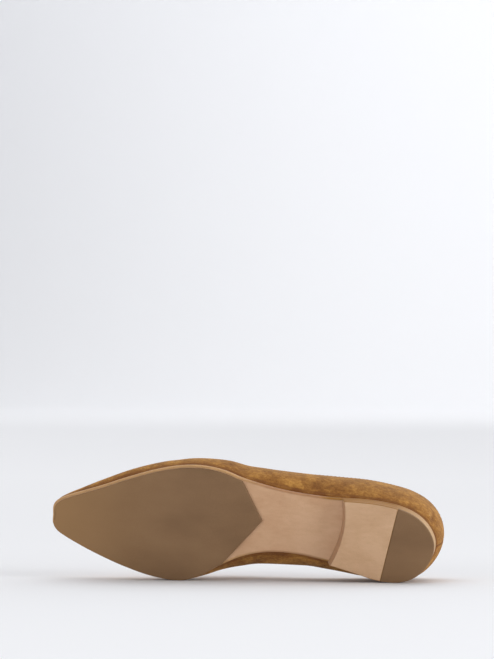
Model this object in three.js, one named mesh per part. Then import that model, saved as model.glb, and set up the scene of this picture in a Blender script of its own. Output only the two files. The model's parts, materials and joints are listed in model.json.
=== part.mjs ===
// A flat slipper shoe, the left one of a pair: a suede upper on a leather sole with a rubber half sole.
// It is worked out standing, in millimetres: x runs from the heel back to the toe, y to the outer side
// of the foot, z up from the ground. At the end it is laid down on its inner side.
import * as THREE from 'three';
import { mergeVertices } from 'three/addons/utils/BufferGeometryUtils.js';
import { ConvexHull } from 'three/addons/math/ConvexHull.js';

// Sole
const SOLE_LENGTH = 258;
const BALL_WIDTH = 78;
const WAIST_WIDTH = 43;
const SEAT_WIDTH = 51;
const TOE_WIDTH = 24;
const OUTSOLE_THICKNESS = 3;
const HALF_SOLE_THICKNESS = 1.3;
const TOE_SPRING = 8.5;
const EDGE_BEVEL = 0.8;
const MARGIN_OUTER = 1.5;
const MARGIN_INNER = 0.4;

// Heel
const HEEL_HEIGHT = 8;
const TOP_PIECE_THICKNESS = 2.4;
const HEEL_BEVEL = 0.3;
const HEEL_LENGTH = 60.8;
const BREAST_HOLLOW = 4;
const BREAST_SKEW = 7.5;
const BREAST_SLOPE = 2.6;
const TIP_LENGTH = 29.5;
const TIP_SKEW = 9.8;

// Upper and insole
const WALL = 1.8;
const FEATHER_INSET = 0.6;
const FEATHER_ROUND = 1.5;
const LASTING_MARGIN = 8;
const INSTEP_HEIGHT = 62;
const BACK_HEIGHT = 56;
const SWELL = 6.4;
const SWELL_HEIGHT = 22;
const INSOLE_THICKNESS = 2.2;
const INSOLE_EASE = 1.2;

// Between pieces that touch
const GAP = 0.3;

// Densities in grams per cubic millimetre, for the balance of the lying shoe
const SUEDE_DENSITY = 0.0008;
const LEATHER_DENSITY = 0.001;
const RUBBER_DENSITY = 0.0012;

// How finely the curved pieces are divided
const SOLE_COLUMNS = 46;
const VEE_COLUMNS = 4;
const VAMP_COLUMNS = 17;
const COLLAR_COLUMNS = 30;
const WALL_ROWS = 11;
const TRACE_STEPS = 60;
const BREAST_STEPS = 8;

// The sole's outline from toe to heel: at is a share of the length, outer and inner are shares of a width.
const OUTLINE = [
  { at: 1.000, outer: 0.233, inner: 0.217, of: TOE_WIDTH },
  { at: 0.995, outer: 0.358, inner: 0.335, of: TOE_WIDTH },
  { at: 0.984, outer: 0.467, inner: 0.458, of: TOE_WIDTH },
  { at: 0.965, outer: 0.178, inner: 0.175, of: BALL_WIDTH },
  { at: 0.930, outer: 0.227, inner: 0.227, of: BALL_WIDTH },
  { at: 0.870, outer: 0.305, inner: 0.305, of: BALL_WIDTH },
  { at: 0.800, outer: 0.403, inner: 0.383, of: BALL_WIDTH },
  { at: 0.720, outer: 0.497, inner: 0.449, of: BALL_WIDTH },
  { at: 0.650, outer: 0.547, inner: 0.464, of: BALL_WIDTH },
  { at: 0.600, outer: 0.553, inner: 0.405, of: BALL_WIDTH },
  { at: 0.550, outer: 0.526, inner: 0.303, of: BALL_WIDTH },
  { at: 0.500, outer: 0.466, inner: 0.221, of: BALL_WIDTH },
  { at: 0.450, outer: 0.764, inner: 0.319, of: WAIST_WIDTH },
  { at: 0.400, outer: 0.697, inner: 0.296, of: WAIST_WIDTH },
  { at: 0.340, outer: 0.647, inner: 0.321, of: WAIST_WIDTH },
  { at: 0.270, outer: 0.524, inner: 0.337, of: SEAT_WIDTH },
  { at: 0.200, outer: 0.531, inner: 0.421, of: SEAT_WIDTH },
  { at: 0.140, outer: 0.516, inner: 0.492, of: SEAT_WIDTH },
  { at: 0.090, outer: 0.471, inner: 0.500, of: SEAT_WIDTH },
  { at: 0.050, outer: 0.386, inner: 0.427, of: SEAT_WIDTH },
  { at: 0.022, outer: 0.265, inner: 0.296, of: SEAT_WIDTH },
  { at: 0.004, outer: 0.112, inner: 0.124, of: SEAT_WIDTH },
];

// The underside in side view: the flat seat, the waist down to the flat tread, and the toe spring.
const SEAT_END = 0.28;
const TREAD_START = 0.61;
const SPRING_START = 0.73;
const SPRING_POWER = 1.8;

// The V of the half sole, as shares of the length, and of the ball width across.
const VEE = { outerAt: 0.499, innerAt: 0.545, tipAt: 0.446, tipAcross: 0.108 };

// The last's crest from toe to heel: height is a share of the instep height, aside a share of the ball
// width towards the inner side, full how square the section is.
const CREST = [
  { at: 1.00, height: 0.385, aside: 0.000, full: 2.20 },
  { at: 0.95, height: 0.435, aside: 0.000, full: 2.25 },
  { at: 0.90, height: 0.485, aside: 0.008, full: 2.30 },
  { at: 0.80, height: 0.600, aside: 0.030, full: 2.35 },
  { at: 0.70, height: 0.750, aside: 0.050, full: 2.35 },
  { at: 0.64, height: 0.870, aside: 0.055, full: 2.35 },
  { at: 0.58, height: 1.000, aside: 0.050, full: 2.35 },
  { at: 0.52, height: 1.170, aside: 0.040, full: 2.40 },
  { at: 0.45, height: 1.370, aside: 0.025, full: 2.50 },
  { at: 0.36, height: 1.480, aside: 0.010, full: 2.60 },
  { at: 0.20, height: 1.500, aside: 0.000, full: 2.60 },
  { at: 0.00, height: 1.450, aside: 0.000, full: 2.60 },
];

// How far the wall swells past the feather line, as shares of the swell, and how high up, as a share.
const SWELLS = [
  { at: 1.00, outer: 0.09, inner: 0.09, high: 0.36 },
  { at: 0.93, outer: 0.32, inner: 0.16, high: 0.40 },
  { at: 0.87, outer: 0.58, inner: 0.20, high: 0.45 },
  { at: 0.80, outer: 0.66, inner: 0.26, high: 0.50 },
  { at: 0.72, outer: 0.54, inner: 0.38, high: 0.59 },
  { at: 0.65, outer: 0.44, inner: 0.46, high: 0.64 },
  { at: 0.60, outer: 0.44, inner: 0.68, high: 0.68 },
  { at: 0.55, outer: 0.58, inner: 1.20, high: 0.72 },
  { at: 0.50, outer: 0.74, inner: 1.72, high: 0.74 },
  { at: 0.45, outer: 1.00, inner: 2.00, high: 0.77 },
  { at: 0.40, outer: 1.26, inner: 2.10, high: 0.78 },
  { at: 0.34, outer: 1.40, inner: 2.00, high: 0.82 },
  { at: 0.27, outer: 1.42, inner: 1.72, high: 0.91 },
  { at: 0.20, outer: 1.20, inner: 1.44, high: 1.00 },
  { at: 0.14, outer: 0.94, inner: 1.08, high: 1.04 },
  { at: 0.09, outer: 0.80, inner: 0.94, high: 1.04 },
  { at: 0.05, outer: 0.70, inner: 0.76, high: 1.00 },
  { at: 0.00, outer: 0.62, inner: 0.62, high: 0.95 },
];

// The topline in side view, from behind the throat to the heel: shares of the back height above ground.
const TOPLINE = [
  { at: 0.66, height: 1.150 },
  { at: 0.60, height: 1.130 },
  { at: 0.56, height: 1.105 },
  { at: 0.52, height: 1.055 },
  { at: 0.46, height: 0.930 },
  { at: 0.40, height: 0.840 },
  { at: 0.32, height: 0.795 },
  { at: 0.22, height: 0.820 },
  { at: 0.12, height: 0.900 },
  { at: 0.04, height: 0.985 },
  { at: 0.00, height: 1.000 },
];

// The crest starts behind the toe's front and ends before the heel's back, so that the sections fan out.
const TOE_FAN = 13;
const TOE_FAN_REACH = 60;
const HEEL_FAN = 22;
const HEEL_FAN_REACH = 72;

const SUEDE_COLOUR = 0xa4733c;
const LEATHER_COLOUR = 0xb6936f;
const RUBBER_COLOUR = 0x7b5f48;
const LINING_COLOUR = 0xc7a67c;

// A value between the rows of a table, on a smooth curve through them. The rows run from 1 down to 0.
function between(table, at, key) {
  const share = THREE.MathUtils.clamp(at, table[table.length - 1].at, table[0].at);
  const i = table.findIndex((row, k) => k > 0 && row.at <= share);
  const slope = (k) => {
    const a = table[Math.max(k - 1, 0)];
    const b = table[Math.min(k + 1, table.length - 1)];
    return (b[key] - a[key]) / (b.at - a.at);
  };
  const a = table[i - 1];
  const b = table[i];
  const step = b.at - a.at;
  const t = (share - a.at) / step;
  const blend = t * t * (3 - 2 * t);
  const rise = t * (1 - t) * step;
  return a[key] + (b[key] - a[key]) * blend + rise * ((1 - t) * slope(i - 1) - t * slope(i));
}

// Plan of the sole: a closed curve through the rows, from the toe along the outer side and back.
const ROWS = OUTLINE.length + 1;

function outlineCurve() {
  const outer = OUTLINE.map((row) => new THREE.Vector3(row.at * SOLE_LENGTH, row.outer * row.of, 0));
  const inner = OUTLINE.map((row) => new THREE.Vector3(row.at * SOLE_LENGTH, -row.inner * row.of, 0));
  const toe = new THREE.Vector3(SOLE_LENGTH, 0, 0);
  const heel = new THREE.Vector3(0, 0, 0);
  return new THREE.CatmullRomCurve3([toe, ...outer, heel, ...inner.reverse()], true, 'centripetal');
}

const PLAN = outlineCurve();

// A place on the outline, side 1 outer or -1 inner, row 0 at the toe and ROWS at the heel back.
function edgePlace(side, row, inset = 0) {
  const t = side > 0 ? row / (2 * ROWS) : 1 - row / (2 * ROWS);
  const spot = PLAN.getPoint(t % 1);
  const along = PLAN.getTangent(THREE.MathUtils.clamp(t, 0.0001, 0.9999));
  return new THREE.Vector2(spot.x - along.y * inset, spot.y + along.x * inset);
}

function rowAt(side, x) {
  let low = 0;
  let high = ROWS;
  for (let i = 0; i < 40; i++) {
    const middle = (low + high) / 2;
    if (edgePlace(side, middle).x > x) low = middle;
    else high = middle;
  }
  return low;
}

// Height of the outsole's underside above the ground.
function undersideHeight(x) {
  const at = x / SOLE_LENGTH;
  if (at > SPRING_START) {
    return HALF_SOLE_THICKNESS + TOE_SPRING * ((at - SPRING_START) / (1 - SPRING_START)) ** SPRING_POWER;
  }
  const fall = THREE.MathUtils.smoothstep(at, SEAT_END, TREAD_START);
  return HEEL_HEIGHT + (HALF_SOLE_THICKNESS - HEEL_HEIGHT) * fall;
}

const treadHeight = (x) => undersideHeight(x) - HALF_SOLE_THICKNESS;
const halfSoleTop = (x) => undersideHeight(x) - GAP;
const outsoleTop = (x) => undersideHeight(x) + OUTSOLE_THICKNESS;
const featherHeight = (x) => outsoleTop(x) + GAP;
const insoleBottom = (x) => featherHeight(x) + WALL + GAP;

// Triangles of points become one closed solid with its faces outward.
function solid(name, triangles, colour, roughness) {
  const flat = triangles.flatMap((corner) => [corner.x, corner.y, corner.z]);
  const loose = new THREE.BufferGeometry();
  loose.setAttribute('position', new THREE.Float32BufferAttribute(flat, 3));
  const geometry = mergeVertices(loose, 1e-4);
  const index = geometry.getIndex().array;
  const spots = geometry.getAttribute('position');
  const kept = [];
  const [a, b, c] = [new THREE.Vector3(), new THREE.Vector3(), new THREE.Vector3()];
  let volume = 0;
  for (let i = 0; i < index.length; i += 3) {
    const three = [index[i], index[i + 1], index[i + 2]];
    if (new Set(three).size < 3) continue;
    kept.push(three);
    a.fromBufferAttribute(spots, three[0]);
    b.fromBufferAttribute(spots, three[1]);
    c.fromBufferAttribute(spots, three[2]);
    volume += a.dot(b.cross(c)) / 6;
  }
  geometry.setIndex((volume < 0 ? kept.map((three) => three.reverse()) : kept).flat());
  geometry.computeVertexNormals();
  const mesh = new THREE.Mesh(geometry, new THREE.MeshStandardMaterial({ color: colour, roughness, metalness: 0 }));
  mesh.name = name;
  return mesh;
}

const quad = (a, b, c, d) => [a, b, c, a, c, d];

// A closed outline moved inwards by the same distance everywhere; it runs clockwise or not, as given.
function insetLoop(loop, inset) {
  const turn = Math.sign(THREE.ShapeUtils.area(loop));
  return loop.map((spot, i) => {
    const before = loop[(i + loop.length - 1) % loop.length];
    const after = loop[(i + 1) % loop.length];
    const a = spot.clone().sub(before).normalize();
    const b = after.clone().sub(spot).normalize();
    const inward = new THREE.Vector2(-a.y - b.y, a.x + b.x).multiplyScalar(turn);
    return spot.clone().addScaledVector(inward, (2 * inset) / inward.lengthSq());
  });
}

// The walls between a solid's rings of points, from its bottom ring to its top ring.
function walls(rings) {
  const triangles = [];
  for (let k = 0; k + 1 < rings.length; k++) {
    const count = rings[k].length;
    for (let i = 0; i < count; i++) {
      const j = (i + 1) % count;
      triangles.push(...quad(rings[k][i], rings[k][j], rings[k + 1][j], rings[k + 1][i]));
    }
  }
  return triangles;
}

const raise = (loop, height) => loop.map((spot) => new THREE.Vector3(spot.x, spot.y, height(spot.x)));

// A plate that bends with the sole. Its loop goes down one side and back up the other, so that
// place i on one side faces place n - i on the other.
function plate(name, loop, layers, colour, roughness) {
  const rings = layers.map((layer) => raise(insetLoop(loop, layer.inset), layer.height));
  const triangles = walls(rings);
  const count = loop.length;
  const cap = (ring, flip) => {
    for (let i = 0; i < count / 2; i++) {
      const across = quad(ring[i], ring[i + 1], ring[count - i - 1], ring[(count - i) % count]);
      triangles.push(...(flip ? across.reverse() : across));
    }
  };
  cap(rings[0], true);
  cap(rings[rings.length - 1], false);
  return solid(name, triangles, colour, roughness);
}

// A block with flat ends, whose outline may change from layer to layer.
function block(name, layers, colour, roughness) {
  const rings = layers.map((layer) => raise(insetLoop(layer.loop, layer.inset), () => layer.height));
  const triangles = walls(rings);
  const cap = (ring, flip) => {
    const flat = ring.map((spot) => new THREE.Vector2(spot.x, spot.y));
    for (const face of THREE.ShapeUtils.triangulateShape(flat, [])) {
      const corners = face.map((k) => ring[k]);
      triangles.push(...(flip ? corners.reverse() : corners));
    }
  };
  cap(rings[0], true);
  cap(rings[rings.length - 1], false);
  return solid(name, triangles, colour, roughness);
}

// The whole outline, or only its front part, as a loop for a plate. The inset depends on the side and
// on the share of the way from the toe to the end.
function soleLoop(insetOf, outerEnd = ROWS, innerEnd = ROWS, tip = []) {
  const outer = [];
  const inner = [];
  for (let i = 1; i < SOLE_COLUMNS; i++) {
    const share = i / SOLE_COLUMNS;
    outer.push(edgePlace(1, outerEnd * share, insetOf(1, share)));
    inner.push(edgePlace(-1, innerEnd * share, insetOf(-1, share)));
  }
  const toe = edgePlace(1, 0, insetOf(1, 0));
  const end = tip.length ? tip : [edgePlace(1, ROWS, insetOf(1, 1))];
  return [toe, ...outer, ...end, ...inner.reverse()];
}

function makeOutsole() {
  const layers = [
    { inset: EDGE_BEVEL / 2, height: undersideHeight },
    { inset: 0, height: (x) => undersideHeight(x) + EDGE_BEVEL },
    { inset: 0, height: outsoleTop },
  ];
  return plate('outsole', soleLoop(() => 0), layers, LEATHER_COLOUR, 0.55);
}

// The rubber half sole ends in a V whose point lies towards the heel. Its margin to the outsole's edge is
// wider along the outer side.
function makeHalfSole() {
  const outerRow = rowAt(1, VEE.outerAt * SOLE_LENGTH);
  const innerRow = rowAt(-1, VEE.innerAt * SOLE_LENGTH);
  const margin = (side, share) => {
    const lean = side * THREE.MathUtils.smoothstep(share, 0, 0.2);
    return (MARGIN_OUTER + MARGIN_INNER + lean * (MARGIN_OUTER - MARGIN_INNER)) / 2;
  };
  const outerCorner = edgePlace(1, outerRow, MARGIN_OUTER);
  const innerCorner = edgePlace(-1, innerRow, MARGIN_INNER);
  const point = new THREE.Vector2(VEE.tipAt * SOLE_LENGTH, VEE.tipAcross * BALL_WIDTH);
  const vee = [];
  for (let i = 0; i < VEE_COLUMNS; i++) vee.push(outerCorner.clone().lerp(point, i / VEE_COLUMNS));
  vee.push(point);
  for (let i = VEE_COLUMNS - 1; i >= 0; i--) vee.push(innerCorner.clone().lerp(point, i / VEE_COLUMNS));
  const layers = [
    { inset: EDGE_BEVEL / 2, height: treadHeight },
    { inset: 0, height: halfSoleTop },
  ];
  return plate('half_sole', soleLoop(margin, outerRow, innerRow, vee), layers, RUBBER_COLOUR, 0.75);
}

function makeInsole() {
  const inset = FEATHER_INSET + WALL + GAP + INSOLE_EASE;
  const layers = [
    { inset: 0, height: insoleBottom },
    { inset: 0, height: (x) => insoleBottom(x) + INSOLE_THICKNESS },
  ];
  return plate('insole', soleLoop(() => inset), layers, LINING_COLOUR, 0.6);
}

// Plan of the heel at a height above ground: the seat's outline closed by a hollow breast, a shallow
// arc set askew that slopes forward as it rises to the waist.
function heelLoop(height) {
  const length = HEEL_LENGTH + (BREAST_SLOPE * height) / HEEL_HEIGHT;
  const outerRow = rowAt(1, length);
  const innerRow = rowAt(-1, length + BREAST_SKEW);
  const steps = Math.round(SOLE_COLUMNS / 4);
  const loop = [];
  for (let i = 0; i <= steps; i++) loop.push(edgePlace(1, outerRow + ((ROWS - outerRow) * i) / steps));
  for (let i = steps - 1; i >= 0; i--) loop.push(edgePlace(-1, innerRow + ((ROWS - innerRow) * i) / steps));
  const start = loop[loop.length - 1];
  const end = loop[0];
  for (let i = 1; i < BREAST_STEPS; i++) {
    const t = i / BREAST_STEPS;
    const spot = start.clone().lerp(end, t);
    spot.x -= BREAST_HOLLOW * 4 * t * (1 - t);
    loop.push(spot);
  }
  return loop;
}

// The part of a loop that lies on one side of a straight line, the line moved off by half a gap.
function clipLoop(loop, from, to, keep) {
  const across = to.clone().sub(from).normalize();
  const normal = new THREE.Vector2(-across.y, across.x).multiplyScalar(keep);
  const distance = (spot) => spot.clone().sub(from).dot(normal) - GAP / 2;
  const kept = [];
  loop.forEach((spot, i) => {
    const next = loop[(i + 1) % loop.length];
    const here = distance(spot);
    const there = distance(next);
    if (here >= 0) kept.push(spot);
    if (here * there < 0) kept.push(spot.clone().lerp(next, here / (here - there)));
  });
  return kept;
}

// The heel's leather lift, and under it the top piece: leather in front and a rubber tip behind.
function makeHeel() {
  const jointOuter = new THREE.Vector2(TIP_LENGTH - TIP_SKEW / 2, SEAT_WIDTH / 2);
  const jointInner = new THREE.Vector2(TIP_LENGTH + TIP_SKEW / 2, -SEAT_WIDTH / 2);
  const layer = (height, inset, side) => {
    const loop = heelLoop(height);
    return { height, inset, loop: side ? clipLoop(loop, jointOuter, jointInner, side) : loop };
  };
  const liftLayers = [layer(TOP_PIECE_THICKNESS + GAP, 0), layer(HEEL_HEIGHT - GAP, 0)];
  const topPieceLayers = (side) => [
    layer(0, HEEL_BEVEL, side),
    layer(HEEL_BEVEL, 0, side),
    layer(TOP_PIECE_THICKNESS, 0, side),
  ];
  return [
    block('heel_lift', liftLayers, LEATHER_COLOUR, 0.55),
    block('heel_top_leather', topPieceLayers(1), LEATHER_COLOUR, 0.5),
    block('heel_top_rubber', topPieceLayers(-1), RUBBER_COLOUR, 0.75),
  ];
}

// The crest's place that faces a row of the outline.
function crestPlace(row) {
  const x = (edgePlace(1, row).x + edgePlace(-1, row).x) / 2;
  const toeShare = Math.max(0, 1 - (SOLE_LENGTH - x) / TOE_FAN_REACH);
  const heelShare = Math.max(0, 1 - x / HEEL_FAN_REACH);
  const along = x - TOE_FAN * toeShare ** 2 + HEEL_FAN * heelShare ** 2;
  const at = along / SOLE_LENGTH;
  const aside = between(CREST, at, 'aside') * BALL_WIDTH;
  return new THREE.Vector3(along, -aside, between(CREST, at, 'height') * INSTEP_HEIGHT);
}

const toplineHeight = (x) => between(TOPLINE, x / SOLE_LENGTH, 'height') * BACK_HEIGHT;

function throatRow() {
  let low = 0;
  let high = ROWS;
  for (let i = 0; i < 40; i++) {
    const middle = (low + high) / 2;
    const crest = crestPlace(middle);
    if (crest.z < toplineHeight(crest.x)) low = middle;
    else high = middle;
  }
  return low;
}

// One section of the upper's outside, from the turned-in margin over the feather and up the wall, as
// places (out, up) from the feather line. It stops at the topline, or meets the other side at the crest.
function sectionOf(side, row, whole) {
  const feather = edgePlace(side, row, FEATHER_INSET);
  const crest = crestPlace(row);
  const out = new THREE.Vector2(feather.x - crest.x, feather.y - crest.y);
  const reach = out.length();
  out.normalize();
  const square = edgePlace(side, row).sub(feather).normalize();
  const wall = WALL / out.dot(square);
  const base = featherHeight(feather.x);
  const rise = crest.z - base;
  const at = feather.x / SOLE_LENGTH;
  const swell = between(SWELLS, at, side > 0 ? 'outer' : 'inner') * SWELL;
  const swellHeight = between(SWELLS, at, 'high') * SWELL_HEIGHT;
  const power = 2 / between(CREST, at, 'full');
  const wallPlace = (angle) => {
    const up = rise * Math.sin(angle) ** power;
    const high = up / swellHeight;
    const bulge = swell * high * Math.exp(1 - high) * Math.cos(angle);
    return new THREE.Vector2(bulge - reach * (1 - Math.max(Math.cos(angle), 0) ** power), up);
  };
  const past = (angle) => {
    const place = wallPlace(angle);
    return base + place.y > toplineHeight(feather.x + out.x * place.x);
  };
  let last = Math.PI / 2;
  if (!whole) {
    let low = 0;
    for (let i = 0; i < 40; i++) {
      const middle = (low + last) / 2;
      if (past(middle)) last = middle;
      else low = middle;
    }
  }
  const first = Math.asin((FEATHER_ROUND / rise) ** (1 / power));
  const trace = [];
  let length = 0;
  for (let i = 0; i <= TRACE_STEPS; i++) {
    const place = wallPlace(first + ((last - first) * i) / TRACE_STEPS);
    if (i > 0) length += place.distanceTo(trace[i - 1].place);
    trace.push({ place, length });
  }
  const places = [new THREE.Vector2(-LASTING_MARGIN, 0), new THREE.Vector2(-FEATHER_ROUND, 0)];
  for (let i = 0; i <= WALL_ROWS; i++) {
    const wanted = (length * i) / WALL_ROWS;
    const k = Math.max(1, trace.findIndex((mark) => mark.length >= wanted - 1e-6));
    const share = (wanted - trace[k - 1].length) / (trace[k].length - trace[k - 1].length);
    places.push(trace[k - 1].place.clone().lerp(trace[k].place, share));
  }
  return { feather, out, base, places, wall, whole };
}

// The same section on the inside of the wall.
function insideOf(section) {
  const { places, wall } = section;
  return places.map((place, i) => {
    const before = places[Math.max(i - 1, 0)];
    const after = places[Math.min(i + 1, places.length - 1)];
    const a = (i > 0 ? place.clone().sub(before) : after.clone().sub(place)).normalize();
    const b = (i < places.length - 1 ? after.clone().sub(place) : place.clone().sub(before)).normalize();
    const inward = new THREE.Vector2(-a.y - b.y, a.x + b.x);
    if (section.whole && i === places.length - 1) return new THREE.Vector2(place.x, place.y - WALL);
    const inside = place.clone().addScaledVector(inward, (2 * wall) / inward.lengthSq());
    return i < 2 ? new THREE.Vector2(inside.x, WALL) : inside;
  });
}

// The margin lies on the outsole, so its places follow the sole; the wall's places hang on the feather.
function placeSection(section, places) {
  return places.map((place, i) => {
    const x = section.feather.x + section.out.x * place.x;
    const y = section.feather.y + section.out.y * place.x;
    const base = i < 2 ? featherHeight(x) : section.base;
    return new THREE.Vector3(x, y, base + place.y);
  });
}

function makeUpper() {
  const throat = throatRow();
  const rows = [];
  for (let i = 0; i <= VAMP_COLUMNS; i++) rows.push((throat * i) / VAMP_COLUMNS);
  for (let i = 1; i <= COLLAR_COLUMNS; i++) rows.push(throat + (ROWS - throat) * (i / COLLAR_COLUMNS) ** 1.4);
  const columns = [];
  const addColumn = (side, i) => {
    const section = sectionOf(side, rows[i], i <= VAMP_COLUMNS);
    const outside = placeSection(section, section.places);
    const inside = placeSection(section, insideOf(section));
    columns.push({ outside, inside, whole: section.whole });
  };
  for (let i = 0; i < rows.length; i++) addColumn(1, i);
  for (let i = rows.length - 2; i > 0; i--) addColumn(-1, i);
  const triangles = [];
  columns.forEach((here, i) => {
    const next = columns[(i + 1) % columns.length];
    const top = here.outside.length - 1;
    for (let k = 0; k < top; k++) {
      triangles.push(...quad(here.outside[k], next.outside[k], next.outside[k + 1], here.outside[k + 1]));
      triangles.push(...quad(here.inside[k + 1], next.inside[k + 1], next.inside[k], here.inside[k]));
    }
    triangles.push(...quad(here.inside[0], next.inside[0], next.outside[0], here.outside[0]));
    if (here.whole && next.whole) return;
    triangles.push(...quad(here.outside[top], next.outside[top], next.inside[top], here.inside[top]));
  });
  return solid('upper', triangles, SUEDE_COLOUR, 0.95);
}

const outsole = makeOutsole();
const halfSole = makeHalfSole();
const insole = makeInsole();
const upper = makeUpper();
const [heelLift, heelTopLeather, heelTopRubber] = makeHeel();

// The balance point of the whole shoe, from each piece's volume and density.
function balancePoint(pieces) {
  const sum = new THREE.Vector3();
  let weight = 0;
  for (const [mesh, density] of pieces) {
    const spots = mesh.geometry.getAttribute('position');
    const index = mesh.geometry.getIndex().array;
    for (let i = 0; i < index.length; i += 3) {
      const [a, b, c] = [0, 1, 2].map((k) => new THREE.Vector3().fromBufferAttribute(spots, index[i + k]));
      const share = (density * a.dot(b.clone().cross(c))) / 6;
      sum.addScaledVector(a.add(b).add(c), share / 4);
      weight += share;
    }
  }
  return sum.divideScalar(weight);
}

// The way down when the shoe lies on its inner side: square to the flat face of its wrapped outline
// that the balance point stands over.
function downWhenLying(pieces) {
  const balance = balancePoint(pieces);
  const spots = [];
  for (const [mesh] of pieces) {
    const positions = mesh.geometry.getAttribute('position');
    for (let i = 0; i < positions.count; i++) spots.push(new THREE.Vector3().fromBufferAttribute(positions, i));
  }
  const hull = new ConvexHull().setFromPoints(spots);
  let best = null;
  for (const face of hull.faces) {
    const corners = [face.edge, face.edge.next, face.edge.next.next].map((edge) => edge.head().point);
    const triangle = new THREE.Triangle(...corners);
    const foot = balance.clone().addScaledVector(face.normal, face.distanceToPoint(balance) * -1);
    if (face.normal.y < -0.5 && triangle.containsPoint(foot)) best = face.normal.clone();
  }
  return best;
}

const weighed = [
  [upper, SUEDE_DENSITY],
  [insole, LEATHER_DENSITY],
  [outsole, LEATHER_DENSITY],
  [halfSole, RUBBER_DENSITY],
  [heelLift, LEATHER_DENSITY],
  [heelTopLeather, LEATHER_DENSITY],
  [heelTopRubber, RUBBER_DENSITY],
];

// Laid down with the sole to the front and the toe to the left.
const shoe = new THREE.Group();
shoe.add(...weighed.map(([mesh]) => mesh));
const down = downWhenLying(weighed);
const toeward = new THREE.Vector3(1, 0, 0).addScaledVector(down, -down.x).normalize();
const away = new THREE.Vector3().crossVectors(down, toeward);
const lying = new THREE.Matrix4().makeBasis(toeward.clone().negate(), away, down.clone().negate());
shoe.setRotationFromMatrix(lying.transpose());
shoe.updateMatrixWorld(true);
const box = new THREE.Box3().setFromObject(shoe, true);
shoe.position.set(-(box.min.x + box.max.x) / 2, -(box.min.y + box.max.y) / 2, -box.min.z);

const slipper = new THREE.Group();
slipper.add(shoe);

export default slipper;
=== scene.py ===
import json
import math

import bmesh
import bpy
import numpy as np
from mathutils import Matrix, Vector
from mathutils.bvhtree import BVHTree


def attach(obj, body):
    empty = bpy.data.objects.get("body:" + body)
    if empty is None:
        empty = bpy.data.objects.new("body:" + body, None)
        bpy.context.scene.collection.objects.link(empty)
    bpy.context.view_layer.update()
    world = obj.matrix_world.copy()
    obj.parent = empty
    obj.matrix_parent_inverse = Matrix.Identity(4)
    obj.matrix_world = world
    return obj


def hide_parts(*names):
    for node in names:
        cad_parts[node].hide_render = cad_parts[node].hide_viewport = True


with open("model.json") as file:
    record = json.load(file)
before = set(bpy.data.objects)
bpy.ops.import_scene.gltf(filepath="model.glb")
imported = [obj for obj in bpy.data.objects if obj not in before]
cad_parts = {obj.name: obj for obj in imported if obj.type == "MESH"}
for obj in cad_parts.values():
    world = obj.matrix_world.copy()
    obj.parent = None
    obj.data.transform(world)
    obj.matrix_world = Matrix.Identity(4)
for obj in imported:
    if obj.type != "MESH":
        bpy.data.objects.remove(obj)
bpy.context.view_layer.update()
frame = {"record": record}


# The studio
# A level camera stands well back from the sole side, turned a little towards the heel, a little above
# the lying shoe. Its distance is in metres, and the lens is worked out from the size in the photograph.
CAMERA_DISTANCE = 2.4
CAMERA_HEIGHT = 0.1672
CAMERA_SIDEWAYS = -0.0013
CAMERA_TURN = math.radians(8.6)
FOCAL_PIXELS = 3583
PHOTO_LONG_SIDE = 659
SENSOR_WIDTH = 36

ahead = Vector((-math.sin(CAMERA_TURN), math.cos(CAMERA_TURN), 0))
beside = Vector((math.cos(CAMERA_TURN), math.sin(CAMERA_TURN), 0))
camera = bpy.data.objects.new("camera", bpy.data.cameras.new("camera"))
camera.data.sensor_width = SENSOR_WIDTH
camera.data.lens = FOCAL_PIXELS / PHOTO_LONG_SIDE * SENSOR_WIDTH
camera.location = beside * CAMERA_SIDEWAYS - ahead * CAMERA_DISTANCE + Vector((0, 0, CAMERA_HEIGHT))
camera.rotation_euler = (math.radians(90), 0, CAMERA_TURN)
bpy.context.scene.collection.objects.link(camera)
bpy.context.scene.camera = camera
bpy.context.scene.view_settings.view_transform = "Standard"


# The insole
# A board with a thin leather sock glued on, cut to the bottom of the last. It lies inside the upper, on the
# turned-in margin. The last's outline and its side view are worked out here, and every later piece uses them.
SOLE_LENGTH = 0.258
BALL_WIDTH = 0.078
WAIST_WIDTH = 0.043
SEAT_WIDTH = 0.051
TOE_WIDTH = 0.024
OUTSOLE_THICKNESS = 0.003
HALF_SOLE_THICKNESS = 0.0013
HEEL_HEIGHT = 0.008
TOE_SPRING = 0.0085
GAP = 0.0003
WALL = 0.0018
FEATHER_INSET = 0.0006
INSOLE_THICKNESS = 0.0022
INSOLE_EASE = 0.0012
INSOLE_ROUND = 0.0006
SOCK_COLOUR = "#c9a77c"
SOCK_SHADE = "#a98559"
SOCK_CLOUDS = 0.022
SOCK_GRAIN = 0.0009
SOCK_GRAIN_DEPTH = 0.00012
SOLE_COLUMNS = 200
OUTLINE_SAMPLES = 4000

# A ring of faces this wide lies inside the edge of each flat face and keeps its shading flat.
FLAT_RING = 0.0020

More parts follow.
